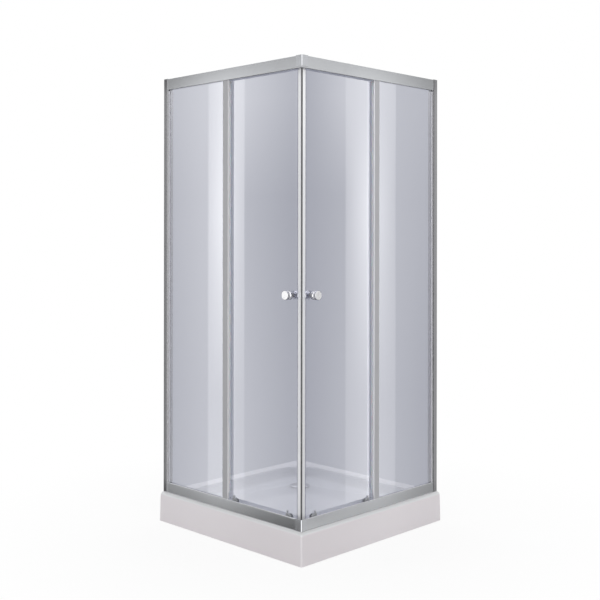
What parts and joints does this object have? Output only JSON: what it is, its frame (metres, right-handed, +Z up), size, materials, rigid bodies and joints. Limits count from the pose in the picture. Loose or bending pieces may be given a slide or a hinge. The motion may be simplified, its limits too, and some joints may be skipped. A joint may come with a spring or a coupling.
{
  "type": "shower cabin",
  "caption": "Square corner shower cabin with a low tray, fixed glass panes and glass doors on rollers that slide apart from the corner.",
  "frame": {"origin": "on the floor under the middle of the 900 mm square tray, at the underside of the middle foot pad", "axes": "+Z up; the building's walls stand at -X and +Y, and the doors meet at the +X -Y corner"},
  "size_m": [0.9, 0.9, 2],
  "materials": {
    "acrylic_white": "gloss",
    "board_wood": "raw board",
    "galvanised_steel": "galvanised",
    "stainless_steel": "satin",
    "rubber_black": "matt",
    "pipe_white": "satin",
    "chrome": "polished",
    "anodised_aluminium": "satin anodised",
    "grey_plastic": "satin",
    "clear_glass": "clear toughened",
    "seal_white": "milky",
    "seal_clear": "milky",
    "gasket_grey": "matt",
    "wheel_white": "satin"
  },
  "bodies": {
    "base": {"tray_shell": "acrylic_white", "base_board": "board_wood", "leg_tubes": "galvanised_steel", "levelling_feet": "galvanised_steel", "foot_pads": "rubber_black", "waste_flange": "stainless_steel", "waste_gasket": "rubber_black", "trap_body": "pipe_white", "trap_nut": "pipe_white", "outlet_pipe": "pipe_white", "left_wall_profile": "anodised_aluminium", "right_wall_profile": "anodised_aluminium", "left_jamb": "anodised_aluminium", "right_jamb": "anodised_aluminium", "left_top_rail": "anodised_aluminium", "right_top_rail": "anodised_aluminium", "left_bottom_rail": "anodised_aluminium", "right_bottom_rail": "anodised_aluminium", "top_corner_cap": "anodised_aluminium", "bottom_corner_cap": "anodised_aluminium", "corner_brackets": "grey_plastic", "rail_end_blocks": "grey_plastic", "profile_caps": "grey_plastic", "left_fixed_glass": "clear_glass", "right_fixed_glass": "clear_glass", "left_strip_profile": "anodised_aluminium", "right_strip_profile": "anodised_aluminium", "strip_seals": "seal_clear", "glass_gaskets": "gasket_grey", "rail_stops": "rubber_black", "frame_screws": "stainless_steel"},
    "drain_cover": {"drain_cover": "chrome"},
    "left_door": {"left_door_glass": "clear_glass", "left_magnet_profile": "seal_white", "left_magnet_strip": "rubber_black", "left_rear_seal": "seal_clear", "left_knob": "chrome", "left_hangers": "stainless_steel", "left_bottom_housings": "grey_plastic"},
    "left_top_wheel_front": {"left_top_wheel_front": "wheel_white"},
    "left_release_front": {"left_release_front": "grey_plastic"},
    "left_bottom_wheel_front": {"left_bottom_wheel_front": "wheel_white"},
    "left_top_wheel_rear": {"left_top_wheel_rear": "wheel_white"},
    "left_release_rear": {"left_release_rear": "grey_plastic"},
    "left_bottom_wheel_rear": {"left_bottom_wheel_rear": "wheel_white"},
    "right_door": {"right_door_glass": "clear_glass", "right_magnet_profile": "seal_white", "right_magnet_strip": "rubber_black", "right_rear_seal": "seal_clear", "right_knob": "chrome", "right_hangers": "stainless_steel", "right_bottom_housings": "grey_plastic"},
    "right_top_wheel_front": {"right_top_wheel_front": "wheel_white"},
    "right_release_front": {"right_release_front": "grey_plastic"},
    "right_bottom_wheel_front": {"right_bottom_wheel_front": "wheel_white"},
    "right_top_wheel_rear": {"right_top_wheel_rear": "wheel_white"},
    "right_release_rear": {"right_release_rear": "grey_plastic"},
    "right_bottom_wheel_rear": {"right_bottom_wheel_rear": "wheel_white"}
  },
  "joints": [
    {"name": "drain_cover_lift", "type": "slide", "parent": "base", "child": "drain_cover", "axis": [0, 0, 1], "range_m": [0, 0.06]},
    {"name": "left_door_slide", "type": "slide", "parent": "base", "child": "left_door", "axis": [-1, 0, 0], "range_m": [0, 0.345]},
    {"name": "left_top_wheel_front_spin", "type": "hinge", "parent": "left_door", "child": "left_top_wheel_front", "pos_m": [0.342, -0.413, 1.97705], "axis": [0, 1, 0], "continuous": true},
    {"name": "left_release_front_press", "type": "slide", "parent": "left_door", "child": "left_release_front", "axis": [0, 0, -1], "range_m": [0, 0.0045], "stiffness_N_per_m": 600, "springref_m": -0.003},
    {"name": "left_bottom_wheel_front_spin", "type": "hinge", "parent": "left_release_front", "child": "left_bottom_wheel_front", "pos_m": [0.342, -0.4144, 0.14505], "axis": [0, 1, 0], "continuous": true},
    {"name": "left_top_wheel_rear_spin", "type": "hinge", "parent": "left_door", "child": "left_top_wheel_rear", "pos_m": [0.021, -0.413, 1.97705], "axis": [0, 1, 0], "continuous": true},
    {"name": "left_release_rear_press", "type": "slide", "parent": "left_door", "child": "left_release_rear", "axis": [0, 0, -1], "range_m": [0, 0.0045], "stiffness_N_per_m": 600, "springref_m": -0.003},
    {"name": "left_bottom_wheel_rear_spin", "type": "hinge", "parent": "left_release_rear", "child": "left_bottom_wheel_rear", "pos_m": [0.021, -0.4144, 0.14505], "axis": [0, 1, 0], "continuous": true},
    {"name": "right_door_slide", "type": "slide", "parent": "base", "child": "right_door", "axis": [0, 1, 0], "range_m": [0, 0.345]},
    {"name": "right_top_wheel_front_spin", "type": "hinge", "parent": "right_door", "child": "right_top_wheel_front", "pos_m": [0.413, -0.342, 1.97705], "axis": [1, 0, 0], "continuous": true},
    {"name": "right_release_front_press", "type": "slide", "parent": "right_door", "child": "right_release_front", "axis": [0, 0, -1], "range_m": [0, 0.0045], "stiffness_N_per_m": 600, "springref_m": -0.003},
    {"name": "right_bottom_wheel_front_spin", "type": "hinge", "parent": "right_release_front", "child": "right_bottom_wheel_front", "pos_m": [0.4144, -0.342, 0.14505], "axis": [1, 0, 0], "continuous": true},
    {"name": "right_top_wheel_rear_spin", "type": "hinge", "parent": "right_door", "child": "right_top_wheel_rear", "pos_m": [0.413, -0.021, 1.97705], "axis": [1, 0, 0], "continuous": true},
    {"name": "right_release_rear_press", "type": "slide", "parent": "right_door", "child": "right_release_rear", "axis": [0, 0, -1], "range_m": [0, 0.0045], "stiffness_N_per_m": 600, "springref_m": -0.003},
    {"name": "right_bottom_wheel_rear_spin", "type": "hinge", "parent": "right_release_rear", "child": "right_bottom_wheel_rear", "pos_m": [0.4144, -0.021, 0.14505], "axis": [1, 0, 0], "continuous": true}
  ],
  "couplings": [
    {"joint": "left_top_wheel_front_spin", "follows": "left_door_slide", "rad_per_m": -100},
    {"joint": "left_bottom_wheel_front_spin", "follows": "left_door_slide", "rad_per_m": 142.86},
    {"joint": "left_top_wheel_rear_spin", "follows": "left_door_slide", "rad_per_m": -100},
    {"joint": "left_bottom_wheel_rear_spin", "follows": "left_door_slide", "rad_per_m": 142.86},
    {"joint": "right_top_wheel_front_spin", "follows": "right_door_slide", "rad_per_m": -100},
    {"joint": "right_bottom_wheel_front_spin", "follows": "right_door_slide", "rad_per_m": 142.86},
    {"joint": "right_top_wheel_rear_spin", "follows": "right_door_slide", "rad_per_m": -100},
    {"joint": "right_bottom_wheel_rear_spin", "follows": "right_door_slide", "rad_per_m": 142.86}
  ]
}
